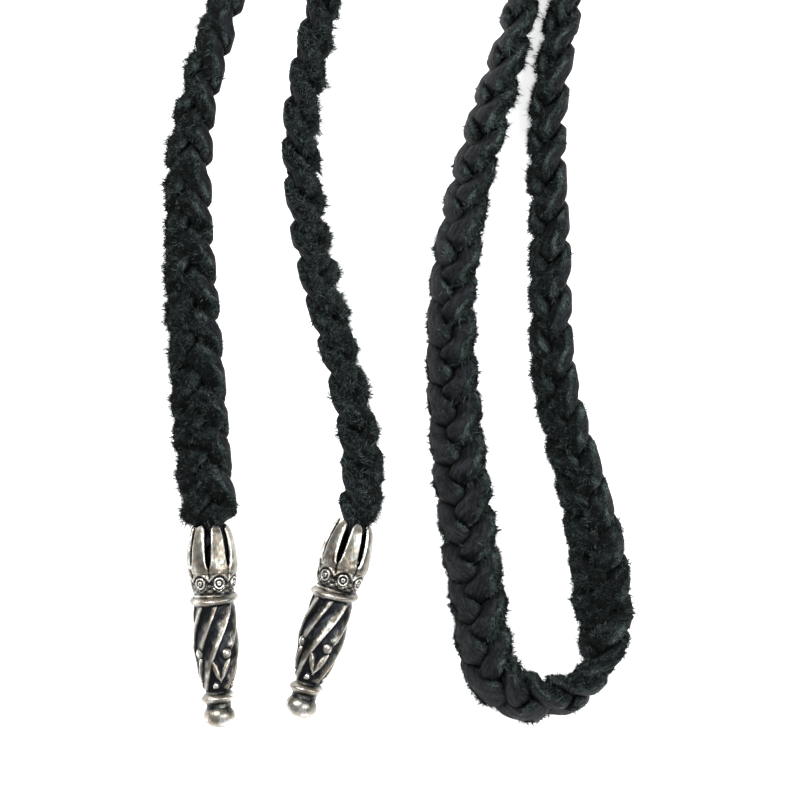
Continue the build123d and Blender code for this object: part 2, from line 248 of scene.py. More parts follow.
def plait_frame(run):
    """The plait's middle, and its ways across and out of the grain face."""
    middle, roll = lie_of_plait(run)
    step = 0.25
    near = lie_of_plait(np.maximum(run - step, 0.0))[0]
    far = lie_of_plait(np.minimum(run + step, PLAIT_LENGTH))[0]
    along = far - near
    along /= np.linalg.norm(along, axis=1)[:, None]
    left = np.cross((0.0, 0.0, 1.0), along)
    left /= np.linalg.norm(left, axis=1)[:, None]
    upright = np.cross(along, left)
    grain = upright * np.cos(roll)[:, None] + left * np.sin(roll)[:, None]
    return middle, np.cross(grain, along), grain


def lace_skin():
    """Corners of the faces along a lace and across its two ends."""
    i, j = np.meshgrid(np.arange(RINGS), np.arange(RING_POINTS), indexing="ij")
    k = (j + 1) % RING_POINTS
    here, there = i * RING_POINTS, (i + 1) * RING_POINTS
    faces = [np.stack([here + j, here + k, there + k, there + j], -1).reshape(-1, 4)]
    n = np.arange(RING_POINTS // 2 - 1)
    for start, way in ((0, -1), (RINGS * RING_POINTS, 1)):
        ring = start + np.arange(RING_POINTS)[::way]
        faces.append(np.stack([ring[n], ring[n + 1], ring[-2 - n], ring[-1 - n]], -1))
    return np.vstack(faces)


def put(name, data):
    thing = bpy.data.objects.new(name, data)
    bpy.context.scene.collection.objects.link(thing)
    return thing


def add_mesh(name, points, faces, smooth_shaded=True):
    """A mesh object from points in millimetres and faces of three or four corners."""
    mesh = bpy.data.meshes.new(name)
    faces = np.asarray(faces, np.int32)
    sides = faces.shape[1]
    mesh.vertices.add(len(points))
    mesh.vertices.foreach_set("co", (np.asarray(points, float) * 0.001).ravel())
    mesh.loops.add(faces.size)
    mesh.loops.foreach_set("vertex_index", faces.ravel())
    mesh.polygons.add(len(faces))
    mesh.polygons.foreach_set("loop_start", np.arange(0, faces.size, sides, dtype=np.int32))
    mesh.polygons.foreach_set("use_smooth", np.full(len(faces), smooth_shaded))
    mesh.update(calc_edges=True)
    mesh.validate()
    return put(name, mesh)


def paint(thing, name, values):
    """Keeps a number, or three, for each point, for the material to read."""
    values = np.asarray(values, np.float32)
    if values.ndim == 2:
        kept = thing.data.attributes.new(name, "FLOAT_VECTOR", "POINT")
        kept.data.foreach_set("vector", values.ravel())
    else:
        kept = thing.data.attributes.new(name, "FLOAT", "POINT")
        kept.data.foreach_set("value", values)


class Finish:
    """One material, with short calls for its nodes."""

    def __init__(self, name):
        self.material = bpy.data.materials.new(name)
        self.material.use_nodes = True
        self.tree = self.material.node_tree
        self.shader = self.tree.nodes["Principled BSDF"]

    def add(self, kind, **settings):
        node = self.tree.nodes.new("ShaderNode" + kind)
        for key, value in settings.items():
            setattr(node, key, value)
        return node

    def set(self, socket, value):
        if isinstance(value, bpy.types.NodeSocket):
            self.tree.links.new(value, socket)
        elif isinstance(value, (tuple, list)) and len(value) == 3 and socket.type == "RGBA":
            socket.default_value = (*value, 1.0)
        else:
            socket.default_value = value

    def surface(self, looks):
        """Sets the shader's inputs, each by its own name."""
        for name, value in looks.items():
            self.set(self.shader.inputs[name], value)

    def read(self, name, vector=False):
        node = self.add("Attribute", attribute_name=name)
        return node.outputs["Vector" if vector else "Fac"]

    def stretch(self, vector, by):
        node = self.add("VectorMath", operation="MULTIPLY")
        self.set(node.inputs[0], vector)
        self.set(node.inputs[1], by)
        return node.outputs[0]

    def noise(self, vector, **settings):
        node = self.add("TexNoise")
        self.set(node.inputs["Vector"], vector)
        for key, value in settings.items():
            node.inputs[key.capitalize()].default_value = value
        return node.outputs["Fac"]

    def step(self, value, low, high, to_low=0.0, to_high=1.0):
        """A soft step from one value to another as the input goes from low to high."""
        node = self.add("MapRange", interpolation_type="SMOOTHSTEP")
        self.set(node.inputs["Value"], value)
        ends = {"From Min": low, "From Max": high, "To Min": to_low, "To Max": to_high}
        for key, number in ends.items():
            node.inputs[key].default_value = number
        return node.outputs["Result"]

    def math(self, operation, a, b=0.0):
        node = self.add("Math", operation=operation)
        self.set(node.inputs[0], a)
        self.set(node.inputs[1], b)
        return node.outputs[0]

    def plus(self, value, other, share, middle=0.0):
        """The value with a share of the other, measured from its middle, added to it."""
        if middle:
            other = self.math("SUBTRACT", other, middle)
        return self.math("ADD", value, self.math("MULTIPLY", other, share))

    def mix(self, share, a, b):
        node = self.add("Mix", data_type="RGBA")
        self.set(node.inputs["Factor"], share)
        self.set(node.inputs[6], a)
        self.set(node.inputs[7], b)
        return node.outputs[2]

    def bump(self, height, depth):
        node = self.add("Bump")
        node.inputs["Strength"].default_value = 1.0
        node.inputs["Distance"].default_value = depth
        self.set(node.inputs["Height"], height)
        return node.outputs["Normal"]


GRAIN_DARK = (0.0020, 0.0024, 0.0030)
GRAIN_PALE = (0.0175, 0.0198, 0.0225)
SUEDE_DARK = (0.0012, 0.0017, 0.0017)
SUEDE_PALE = (0.0320, 0.0440, 0.0440)
# colours of the paler band along each lace's upturned edge: partly rubbed suede, partly painted
# sheen
RUBBED_SHEEN_DARK = (0.0090, 0.0130, 0.0128)
RUBBED_SHEEN_PALE = (0.0950, 0.1270, 0.1220)
# painted shade, laid into the creases where the laces press together
CREASE_SHADE = (0.0010, 0.0011, 0.0012)
SUEDE_ROUGHNESS = 0.95
GRAIN_ROUGHNESS = (0.46, 0.62)
LEATHER_GLINT = 0.10
GRAIN_DEPTH = 0.0004  # in metres, of the creases and pores
CREASE_STRETCH = (1.0, 1.0, 0.22)  # the creases and pores are drawn out along the lace
PORE_STRETCH = (1.0, 1.0, 0.35)
CREASES = {"scale": 1.9, "detail": 5.0, "roughness": 0.65, "distortion": 0.6}
PORES = {"scale": 5.0, "detail": 3.0, "roughness": 0.7, "distortion": 0.4}
NAP_FLECKS = {"scale": 3.4, "detail": 5.0, "roughness": 0.75, "distortion": 0.8}
CLOUDS = {"scale": 0.5, "detail": 3.0, "roughness": 0.6}

hide = Finish("black_hide")
place = hide.read("lace", vector=True)
past_edge = hide.read("past_edge")
crease_unshaded = hide.read("open")
creases = hide.noise(hide.stretch(place, CREASE_STRETCH), **CREASES)
pores = hide.noise(hide.stretch(place, PORE_STRETCH), **PORES)
cloud = hide.noise(place, **CLOUDS)
nap_flecks = hide.noise(place, **NAP_FLECKS)
past_edge = hide.plus(past_edge, creases, 0.5, middle=0.5)
grain_share = hide.step(past_edge, 0.0, 0.09)
near_edge = hide.step(past_edge, -0.55, -0.15)
# the paler band on the upturned edge, partly rubbed suede and partly painted sheen
rubbed_sheen_share = hide.math("MULTIPLY", near_edge, hide.step(past_edge, 0.16, 0.0))
rubbed_sheen_share = hide.math("MULTIPLY", rubbed_sheen_share, hide.read("rubbed"))
grain_height = hide.plus(creases, pores, 0.8)
grain_tone = hide.plus(grain_height, cloud, 0.5)
suede_tone = hide.plus(nap_flecks, cloud, 0.8)
grain_colour = hide.mix(hide.step(grain_tone, 1.02, 1.36), GRAIN_DARK, GRAIN_PALE)
suede_colour = hide.mix(hide.step(suede_tone, 0.86, 1.22), SUEDE_DARK, SUEDE_PALE)
colour = hide.mix(grain_share, suede_colour, grain_colour)
# partly rubbed suede, partly painted sheen
rubbed_sheen_colour = hide.mix(hide.step(pores, 0.36, 0.68), RUBBED_SHEEN_DARK, RUBBED_SHEEN_PALE)
colour = hide.mix(rubbed_sheen_share, colour, rubbed_sheen_colour)
# painted shade: the hide is darkened in the creases where laces press together, less on the suede
crease_unshaded = hide.math("MAXIMUM", crease_unshaded, hide.math("SUBTRACT", 0.6, grain_share))
colour = hide.mix(crease_unshaded, CREASE_SHADE, colour)
grain_rough = hide.step(cloud, 0.3, 0.7, *GRAIN_ROUGHNESS)
rough = hide.add("Mix", data_type="FLOAT")
hide.set(rough.inputs["Factor"], grain_share)
rough.inputs[2].default_value = SUEDE_ROUGHNESS
hide.set(rough.inputs[3], grain_rough)
height = hide.mix(grain_share, nap_flecks, grain_height)
hide.surface({
    "Base Color": colour, "Roughness": rough.outputs[0], "Specular IOR Level": LEATHER_GLINT,
    "Normal": hide.bump(height, GRAIN_DEPTH),
})

GRAIN_EDGES = [
    # distance, and where the grain face ends on the left and the right: 0 is mid edge
    (0, 0.05, 0.4), (300, 0.05, 0.4), (340, 0.1, 0.5), (440, 0.25, 0.55), (460, 0.35, 0.55),
    (500, 0.3, 0.5), (530, 0.1, -0.3), (570, 0.1, -0.4), (620, 0.1, -0.35), (800, 0.0, -0.2),
    (860, -0.3, 0.3), (PLAIT_LENGTH, -0.35, 0.4),
]
SUEDE_LUMPS = 0.07  # how lumpy the suede is, as a share of the lace's half size
LUMP_FIELD = (21, 2.3)  # seed and length
LUMPS_AT_MOST = 1.6
ROLLED_OVER_AT = 850  # distance where the plait's other side comes uppermost
OVER_TABLE = 0.04  # that the hide stays clear of the table

rings = np.linspace(0, PLAIT_LENGTH, RINGS + 1)
middle, across, grain_way = plait_frame(rings)
edge_run, *edges = np.transpose(GRAIN_EDGES)
left_edge, right_edge = (np.interp(rings, edge_run, edge)[:, None] for edge in edges)
skin = lace_skin()
laces = []
for lace in range(3):
    px, py, contact, side, turn = lace_section(lace, rings)
    openness = 1 - smooth((contact - 0.62) / 0.33)
    ragged = uneven("fray", lace, rings) + uneven("grain edge", lace, rings)
    past_edge = turn - (np.where(side > 0, right_edge, left_edge) + ragged[:, None])
    grain_share = smooth((past_edge + 0.05) / 0.2)
    own = lace_middles(rings)[lace]
    distance = np.repeat(rings[:, None], RING_POINTS, 1)
    off = np.stack([px - own[:, 0:1], py - own[:, 1:2], distance], -1)
    lumps = field(off.reshape(-1, 3) + 20.0 * lace, *LUMP_FIELD)[:, 0].reshape(px.shape)
    lumps = np.clip(lumps, -LUMPS_AT_MOST, LUMPS_AT_MOST)
    lumps = SUEDE_LUMPS * lumps * (1 - grain_share) * openness
    px, py = px + lumps * off[..., 0], py + lumps * off[..., 1]
    points = (
        middle[:, None, :]
        + px[..., None] * across[:, None, :]
        + py[..., None] * grain_way[:, None, :]
    )
    points[..., 2] = np.maximum(points[..., 2], OVER_TABLE)
    # the edge of each lace that faces up is made paler: partly rubbed suede, partly painted sheen
    upper_side = np.where(rings < ROLLED_OVER_AT, side.T, -side.T).T
    rubbed = smooth((upper_side - 0.15) / 0.3) * smooth(openness / 0.4)
    rubbed = rubbed * np.clip(0.65 + uneven("rubbing and sheen", lace, rings), 0.15, 1)[:, None]
    thing = add_mesh(f"lace_{lace + 1}", points.reshape(-1, 3), skin)
    paint(thing, "past_edge", past_edge.ravel())
    paint(thing, "rubbed", rubbed.ravel())
    # how far each point is from a crease, which the material reads for the painted crease shade
    paint(thing, "open", openness.ravel())
    paint(thing, "lace", off.reshape(-1, 3) + (40.0 * lace, 0.0, 0.0))
    thing.data.materials.append(hide.material)
    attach(thing, "root")
    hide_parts(f"strand_{lace + 1}")
    # the same paler band for the nap, partly rubbed and partly painted sheen
    rubbed = rubbed * smooth((past_edge + 0.55) / 0.4) * (1 - grain_share)
    laces.append((thing, points, contact, side, grain_share, rubbed))

# The nap. The suede faces and the cut edges of the laces are rubbed up into a short pile,
# with ragged tufts along the edges. It is the hide's own fibre, one pile for each lace.
PILE_COUNT = 28000
PILE_LENGTH = (0.25, 0.6)
TUFT_COUNT = 2300
TUFT_FIBRES = 8
TUFT_SPREAD = 0.22
TUFT_LENGTH = (0.7, 2.2)
STRAY_COUNT = 250
STRAY_LENGTH = (1.6, 5.5)
STRAY_RADIUS = 0.075
STRAY_BENDS = 7
FIBRE_RADIUS = 0.09
FIBRE_ROOT = 0.12  # of a fibre inside the hide
TUFT_ROOT = 0.1  # that the fibres of tufts and loose hairs are sunk in besides
FIBRE_SHAPE = [(0, 2, 1), (0, 1, 3), (1, 2, 3), (2, 0, 3)]
FIBRE_OVER_TABLE = 0.03
NAP_SEED = 7
SWIRL = (11, 2.6)  # seed and length of the way that the pile is brushed
CLUMPING = (12, 1.6)
TONE_CLOUDS = (13, 2.2)
PILE_LEAN = (0.6, 1.1)  # how far the pile leans, all together and each on its own
PILE_MIN_RISE = 0.35
TUFT_LEAN = 0.45
STRAY_LEAN = 0.9
CLUMP_SIZES = (0.35, 2.1)
CRUMBLY = (500, 650)  # where the left edge crumbles, with three times the tufts
FLUFFIER = (850, 60)  # distance from which the nap is longer, and that it grows over
FLUFFY_BY_TIP = (7.0, 5.0)  # reach of the longer nap next to the tips, and that it fades over
# The tables below give a value at each distance along the plait.
THICKNESS_OF_NAP = [
    (130, 1), (170, 0.5), (290, 0.5), (330, 1), (640, 1), (680, 0.5), (860, 0.5), (900, 1),
]
TUFTS_ON_FACE = [(130, 0.35), (160, 0.04), (870, 0.04), (900, 0.25)]
TUFT_REACH = [
    (18, 1), (35, 1.5), (125, 1.5), (150, 1), (880, 1), (910, 1.35), (985, 1.35), (1000, 1),
]
PILE_TONE = [
    (100, 0.19), (140, 0.06), (480, 0.04), (520, -0.02), (640, -0.04), (700, 0.0), (850, -0.16),
]
PILE_BRIGHTNESS = [(480, 1.0), (520, 0.6), (600, 0.7), (640, 1.0)]
ROOT_COLOURS = (0.0008, 0.0011, 0.0011), (0.0100, 0.0140, 0.0138)
TIP_COLOURS = (0.0024, 0.0034, 0.0033), (0.190, 0.250, 0.242)
NAP_ROUGHNESS = 0.85

suede_nap = Finish("suede_nap")
tip_share = suede_nap.read("tip")
shade = suede_nap.read("shade")
root_colour = suede_nap.mix(shade, *ROOT_COLOURS)
tip_colour = suede_nap.mix(shade, *TIP_COLOURS)
nap_colour = suede_nap.mix(tip_share, root_colour, tip_colour)
suede_nap.surface({
    "Base Color": nap_colour, "Roughness": NAP_ROUGHNESS, "Specular IOR Level": LEATHER_GLINT,
})


def unit(vectors):
    return vectors / np.linalg.norm(vectors, axis=1)[:, None]


def places_on(surface, want, count, draw, kept):
    """Points on a lace, thickest where most is wanted: where each is, its way out of the
    hide, its distance along the plait, and the kept values there."""
    grid, normals = surface
    share = np.cumsum(want.ravel())
    cell = np.searchsorted(share, draw.uniform(0, share[-1], count))
    ring, point = np.unravel_index(cell, want.shape)
    following = (point + 1) % RING_POINTS
    f, g = draw.uniform(0, 1, (2, count, 1))
    corners = [(ring, point), (ring + 1, point), (ring + 1, following), (ring, following)]
    weights = [(1 - f) * (1 - g), f * (1 - g), f * g, (1 - f) * g]
    root = sum(w * grid[c] for w, c in zip(weights, corners))
    out = unit(sum(w * normals[c] for w, c in zip(weights, corners)))
    return root, out, rings[ring], kept[ring, point]


def square_to(way, draw):
    """Two directions square to each fibre's own."""
    first = unit(np.cross(way, unit(draw.normal(0, 1, way.shape))))
    return first, np.cross(way, first)


def toward_corner(third, first, second):
    """The way out from a fibre's middle to one of its three corners."""
    turn = 2 * np.pi * third / 3
    return np.cos(turn) * first + np.sin(turn) * second


def straight_fibres(root, way, length, tone, draw):
    """Short tapered fibres: a root of three corners and a tip."""
    first, second = square_to(way, draw)
    radius = FIBRE_RADIUS * draw.uniform(0.7, 1.25, (len(root), 1))
    rows = []
    for third in range(3):
        rows.append(root - FIBRE_ROOT * way + radius * toward_corner(third, first, second))
    rows.append(root + way * length)
    reach = np.tile([0, 0, 0, 1.0], len(root))
    return np.stack(rows, 1), np.array(FIBRE_SHAPE), reach, np.repeat(tone, 4)


def curled_fibres(root, way, length, tone, draw):
    """Long loose hairs that curl more and more towards their ends."""
    first, second = square_to(way, draw)
    curl = length * draw.uniform(0.1, 0.4, length.shape)
    speed = draw.uniform(2.0, 6.5, length.shape)
    rows, shape, reach = [], [(0, 2, 1)], []
    for bend in range(STRAY_BENDS + 1):
        t = bend / STRAY_BENDS
        middle = root + (t - 0.35 * t**2) * length * way
        sideways = np.sin(speed * t) * first + (1 - np.cos(speed * t)) * second
        middle = middle + curl * t * sideways
        thin = STRAY_RADIUS * (1 - 0.5 * t)
        for third in range(3):
            rows.append(middle + thin * toward_corner(third, first, second))
            reach.append(t)
        if bend:
            a, b = 3 * bend - 3, 3 * bend
            for i, j in ((0, 1), (1, 2), (2, 0)):
                shape += [(a + i, a + j, b + j), (a + i, b + j, b + i)]
    shape.append((b, b + 1, b + 2))
    tones = np.repeat(tone, len(reach))
    return np.stack(rows, 1), np.array(shape), np.tile(reach, len(root)), tones


for lace, (thing, grid, contact, side, grain_share, rubbed) in enumerate(laces):
    draw = np.random.default_rng(NAP_SEED + lace)
    mesh = thing.data
    normals = np.zeros(len(mesh.vertices) * 3)
    mesh.vertices.foreach_get("normal", normals)
    surface = grid, normals.reshape(RINGS + 1, RING_POINTS, 3)
    following = (np.arange(RING_POINTS) + 1) % RING_POINTS
    a, b = grid[:-1], grid[1:]
    area = np.linalg.norm(np.cross(b - a, a[:, following] - a), axis=2)
    run = rings[:-1, None]
    outside = outside_tips(run)
    openness = 1 - smooth((contact[:-1] - 0.7) / 0.3)
    seen = area * openness * smooth((outside + 0.6) / 0.8)
    seen = seen * read_off(THICKNESS_OF_NAP, run)
    suede = 1 - grain_share[:-1]
    edge = suede * smooth((np.abs(side[:-1]) - 0.35) / 0.4)
    by_tip = smooth((FLUFFY_BY_TIP[0] - outside) / FLUFFY_BY_TIP[1])
    fluff = 0.5 + 0.25 * smooth((run - FLUFFIER[0]) / FLUFFIER[1]) + 0.35 * by_tip
    # painted shade: the pile is darker towards the creases where laces press together
    unshaded_crown = 1 - smooth((contact - 0.3) / 0.65)
    kept = np.stack([rubbed, unshaded_crown, smooth((np.abs(side) - 0.5) / 0.4)], -1)

    want = seen * suede * (1 - 0.5 * rubbed[:-1]) * (0.7 + fluff)
    root, out, run, here = places_on(surface, want, PILE_COUNT, draw, kept)
    rubbed_sheen_here, unshaded_crown_here, by_edge = here.T
    fluffy = np.interp(run, rings[:-1], fluff[:, 0])[:, None]
    together, alone = PILE_LEAN
    way = out + (together * field(root, *SWIRL) + alone * draw.normal(0, 1, root.shape))
    way += out * np.maximum(PILE_MIN_RISE - np.sum(way * out, 1), 0)[:, None]
    clump = np.clip(1 + 0.6 * field(root, *CLUMPING)[:, 0:1], *CLUMP_SIZES)
    length = draw.uniform(*PILE_LENGTH, (PILE_COUNT, 1)) * clump * (0.7 + 0.6 * fluffy)
    length = length * (1 + 1.1 * by_edge[:, None])
    tone = read_off(PILE_TONE, run) + 0.1 * field(root, *TONE_CLOUDS)[:, 0]
    tone = tone + draw.beta(0.32, 2.5, PILE_COUNT)
    tone = tone * read_off(PILE_BRIGHTNESS, run)
    # painted shade in the creases, and the paler upturned band, partly rubbed and partly painted
    # sheen
    tone = tone * (0.2 + 0.9 * unshaded_crown_here) + 0.35 * rubbed_sheen_here
    parts = [straight_fibres(root, unit(way), length, np.clip(tone, 0, 1), draw)]

    run = rings[:-1, None]
    crumbles = (run > CRUMBLY[0]) & (run < CRUMBLY[1]) & (side[:-1] < 0)
    want = seen * (edge * (1 + 2.0 * crumbles) + read_off(TUFTS_ON_FACE, run) * suede)
    root, out, run = places_on(surface, want, TUFT_COUNT, draw, kept)[:3]
    fluffy = np.interp(run, rings[:-1], fluff[:, 0])[:, None]
    lean = unit(out + TUFT_LEAN * draw.normal(0, 1, root.shape))
    low, high = TUFT_LENGTH
    length = (low + (high - low) * draw.beta(1.0, 2.6, (TUFT_COUNT, 1))) * (0.8 + 0.3 * fluffy)
    length = length * read_off(TUFT_REACH, run)[:, None]
    root, lean, out, length = (np.repeat(v, TUFT_FIBRES, 0) for v in (root, lean, out, length))
    apart = draw.normal(0, TUFT_SPREAD, root.shape)
    apart -= out * np.sum(apart * out, 1)[:, None]
    way = unit(lean * length + 0.42 * draw.normal(0, 1, root.shape) + 0.4 * apart)
    length = length * draw.uniform(0.6, 1.1, (len(root), 1))
    tone = draw.beta(1.0, 4.0, len(root))
    root = root + apart - TUFT_ROOT * out
    parts.append(straight_fibres(root, way, length, tone, draw))

    root, out = places_on(surface, seen * edge, STRAY_COUNT, draw, kept)[:2]
    way = unit(out + STRAY_LEAN * draw.normal(0, 1, root.shape))
    length = draw.uniform(*STRAY_LENGTH, (STRAY_COUNT, 1))
    length = length * draw.uniform(0.4, 1, (STRAY_COUNT, 1))
    tone = 0.3 * draw.beta(1.0, 3.0, STRAY_COUNT)
    parts.append(curled_fibres(root - TUFT_ROOT * out, way, length, tone, draw))

    points, faces, reaches, tones, base = [], [], [], [], 0
    for fibres, shape, reach, tone in parts:
        fibres[..., 2] = np.maximum(fibres[..., 2], FIBRE_OVER_TABLE)
        count, each = fibres.shape[:2]
        points.append(fibres.reshape(-1, 3))
        starts = base + each * np.arange(count)
        faces.append((shape[None] + starts[:, None, None]).reshape(-1, 3))
        reaches.append(reach)
        tones.append(tone)
        base += count * each
    nap = add_mesh(f"nap_{lace + 1}", np.vstack(points), np.vstack(faces), smooth_shaded=False)
    paint(nap, "tip", np.concatenate(reaches))
    paint(nap, "shade", np.concatenate(tones))
    nap.data.materials.append(suede_nap.material)
    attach(nap, "root")

# The tips. Each is one silver casting: seven claws that grip the plait, a punched band, a
# collar, a stem with twisted ribs and small leaves, a ring and a ball. It was blackened, then
# polished, so the recesses stay dark and the high places shine. Both come from one mould.
CLAWS = 7
CLAW_COLUMNS = 24  # across one claw, and on down the casting under it
INNER_EVERY = 4  # of these columns, one goes on inside the socket
SLOT_LENGTH = 8.0
SLOT_HALF_WIDTH = 0.64
CLAW_END_LENGTH = 1.0  # over which the end of a claw is rounded
CLAW_END_NARROWING = 0.8  # on each side, at the very end
CLAW_FOOT = (9.15, 1.3)  # where a claw ends on the band, and how much later at its edges
CLAW_ROUNDING = (0.12, 0.55)  # fall of a claw to its edges, and how near them
CLAW_GROOVE = (0.34, 0.3)  # depth and width of the groove from each slot to the claws' feet
CLAW_RIM = (0.3, 0.12)  # fall and width of the rounded rim along each slot
RIM_SHINE = (0.4, 0.18, 0.2)  # how bright the rim is rubbed, where, and how wide
SOCKET_DEPTH = 9.6
SOCKET = [(0, 2.9), (4.0, 3.6), (7.0, 3.8), (SOCKET_DEPTH, 3.0)]  # place, inner radius
BAND_END = 13.2
GROUND = (0.36, 0.08)  # depth of the sunk ground of the band, and of its beading
MARK_ROW = (10.85, 4.35)  # place along the axis and radius of the row of punched marks
MARK_RADIUS = 1.5
MARK_RINGS = [
    # radius, width, sharpness and depth of each ring that the punch leaves, the dot last
    (1.28, 0.2, 4, 0.42), (0.62, 0.17, 2, 0.4), (0.0, 0.15, 2, 0.25),
]
COLLAR = (13.8, 4.53, 1.9)  # place along the axis, outer radius, thickness
RING = (32.05, 3.24, 1.9)
RING_TILT = np.radians(9)  # that the collar and the ring lean, as cast
STEM = (14.7, 31.1)
STEM_SWELL = [(0, 0.9), (0.2, 1.0), (0.5, 1.0), (0.8, 0.82), (1.0, 0.62)]
RIB_COUNT = 4
RIB_TURN = np.radians(105)  # that a rib turns from collar to ring
RIB_CREST = 4.36  # its greatest distance from the axis
RIB_PATH_RADIUS = 4.0
RIB_STEEP_SIDE = 0.34
RIB_HOLLOW_SIDE = 2.3
LOW_RIB_HEIGHT = 0.74  # of the ribs in between, as a share of the others'
LOW_RIB_END = (0.6, 0.16)  # share of the stem where they are gone, and that they fade over
CARVING_HEIGHT = 0.95
CARVING = [
    # between two ribs: share along the stem, distance aside, lean (none for a bud), size
    (0.56, 0.0, None, 1.1), (0.75, -0.95, 0.45, 2.5), (0.75, 0.95, -0.45, 2.5),
    (0.93, 0.0, None, 0.7),
]
NECK = (33.4, 2.3)  # place where the ball begins, and the radius of its neck
BALL = (35.55, 2.95, 4.4)  # place along the axis, radius, height
CAST_UNEVENNESS = 0.035
CAST_BUMPS = (31, 1.9)  # seed and length
CAST_ROLL = {"right_tip": 40, "left_tip": 34}  # degrees that each tip is turned on its axis
PROFILE = [
    # along the axis from the mouth, radius
    (0.0, 3.2), (0.6, 3.62), (1.5, 4.0), (3.0, 4.42), (5.0, 4.74), (7.0, 4.85), (8.2, 4.8),
    (8.9, 4.68), (9.1, 4.5), (10.8, 4.36), (12.5, 4.12), (12.9, 3.95), (13.8, 3.75), (14.7, 3.6),
    (15.2, 3.4), (17.0, 3.45), (20.0, 3.55), (23.5, 3.5), (26.0, 3.2), (28.5, 2.7), (30.6, 2.3),
    (31.5, 2.3), (33.0, 2.3), (33.7, 2.35),
]
ROW_MARKS = [
    # from, to, rows: closest where the casting has its finest work
    (0.0, 1.2, 9), (1.2, 6.4, 16), (6.4, 8.6, 16), (8.6, 12.5, 24), (12.5, 15.4, 24),
    (15.4, 30.4, 76), (30.4, 33.7, 26),
]
BALL_ROWS = 20


def wrapped(angle):
    return (angle + np.pi) % (2 * np.pi) - np.pi


def claw_offset(angle):
    """How far round from the middle of a claw: -1 and 1 are midway to its neighbours."""
    return wrapped(CLAWS * (angle - np.pi / 2)) / np.pi


def claw_foot(angle):
    """Where the claws end on the band, in a scalloped line."""
    return CLAW_FOOT[0] + CLAW_FOOT[1] * np.abs(claw_offset(angle)) ** 1.6


def torus_reach(place, angle, at, outer, thick):
    """Radius of a leaning ring at each place, or nothing beside it."""
    middle = at + (outer - thick / 2) * np.sin(RING_TILT) * np.sin(angle)
    off = (place - middle) / (thick / 2)
    round_part = np.clip(1 - np.abs(off) ** 1.6, 0, 1)
    return np.where(np.abs(off) < 1, outer - thick / 2 + thick / 2 * round_part, 0.0)


def leaf(u, v, length, width):
    """Height, from 0 to 1, of a pointed leaf along v with a raised spine, at (u, v) off it."""
    along = np.clip(v / length, -1, 1)
    half = width * (1 - along**2) ** 0.8 * (1 - 0.25 * along) + 1e-6
    across = np.clip(np.abs(u) / half, 0, 1)
    body = (1 - across**3) * (np.abs(v) < length)
    return body * (0.55 + 0.45 * (1 - across) ** 0.7)


def bud(u, v, size):
    """Height, from 0 to 1, of a round bud, at (u, v) off its middle."""
    return np.sqrt(np.clip(1 - (np.hypot(u, v) / size) ** 2, 0, 1))


def with_ribs(radius, place, angle):
    """Raises the stem's twisted ribs, and the leaves and buds between them."""
    share = (place - STEM[0]) / (STEM[1] - STEM[0])
    crest = RIB_CREST * read_off(STEM_SWELL, share)
    slant = np.cos(np.arctan2(RIB_TURN * RIB_PATH_RADIUS, STEM[1] - STEM[0]))
    raised = np.zeros_like(radius)
    for rib in range(2 * RIB_COUNT):
        rib_angle = np.pi * rib / RIB_COUNT + RIB_TURN * share
        off = wrapped(angle - rib_angle) * crest * slant
        steep = np.exp(-(off / RIB_STEEP_SIDE) ** 2)
        hollow = 1 - 0.92 * smooth(off / RIB_HOLLOW_SIDE) ** 0.7
        blade = np.where(off < 0, steep, hollow)
        if rib % 2:
            fade = smooth((LOW_RIB_END[0] - share) / LOW_RIB_END[1])
            raised = np.maximum(raised, LOW_RIB_HEIGHT * blade * fade)
            continue
        raised = np.maximum(raised, blade)
        for own_share, aside, lean, size in CARVING:
            middle = np.pi * (rib + 1.2) / RIB_COUNT + RIB_TURN * own_share
            u = wrapped(angle - middle) * crest - aside
            v = (share - own_share) * (STEM[1] - STEM[0])
            if lean is None:
                form = bud(u, v, size)
            else:
                leaning_u = u * np.cos(lean) - v * np.sin(lean)
                leaning_v = u * np.sin(lean) + v * np.cos(lean)
                form = leaf(leaning_u, leaning_v, size, 0.36 * size)
            raised = np.maximum(raised, CARVING_HEIGHT * form)
    on_stem = smooth((share + 0.02) / 0.06) * smooth((1.0 - share) / 0.05)
    return radius + on_stem * raised * np.maximum(crest - radius, 0)


def with_claws(radius, place, angle):
    """Rounds the claws across, and cuts a groove on from each slot to their feet."""
    near_edge = (1 - np.abs(claw_offset(angle))) * radius * np.pi / CLAWS
    on_claw = smooth((claw_foot(angle) - place) / 0.5)
    fall, near = CLAW_ROUNDING
    radius = radius - fall * on_claw * (1 - np.exp(-(near_edge / near) ** 2))
    depth, width = CLAW_GROOVE
    groove = depth * on_claw * smooth((place - SLOT_LENGTH + 0.6) / 0.8)
    return radius - groove * np.exp(-(near_edge / width) ** 2)


def with_marks(radius, place, angle):
    """Sinks the beaded ground of the band, and the ringed dots punched in a row along it."""
    row_at, row_radius = MARK_ROW
    dot = np.hypot(claw_offset(angle) * np.pi / CLAWS * row_radius, place - row_at)
    band = smooth((place - claw_foot(angle)) / 0.3) * smooth((BAND_END - place) / 0.3)
    depth, beading = GROUND
    beaded = depth + beading * np.cos(2 * CLAWS * angle) * np.cos(2.1 * np.pi * place)
    ringed = sum(
        deep * np.exp(-((dot - at) / width) ** sharpness)
        for at, width, sharpness, deep in MARK_RINGS
    )
    in_mark = smooth((MARK_RADIUS - dot) / 0.2)
    punched = in_mark * ringed * smooth((place - 9.0) / 0.3)
    return radius - np.maximum(band * beaded * (1 - in_mark), punched)


def on_surface(radius, place, angle):
    return np.stack([radius * np.cos(angle), radius * np.sin(angle), place], -1)


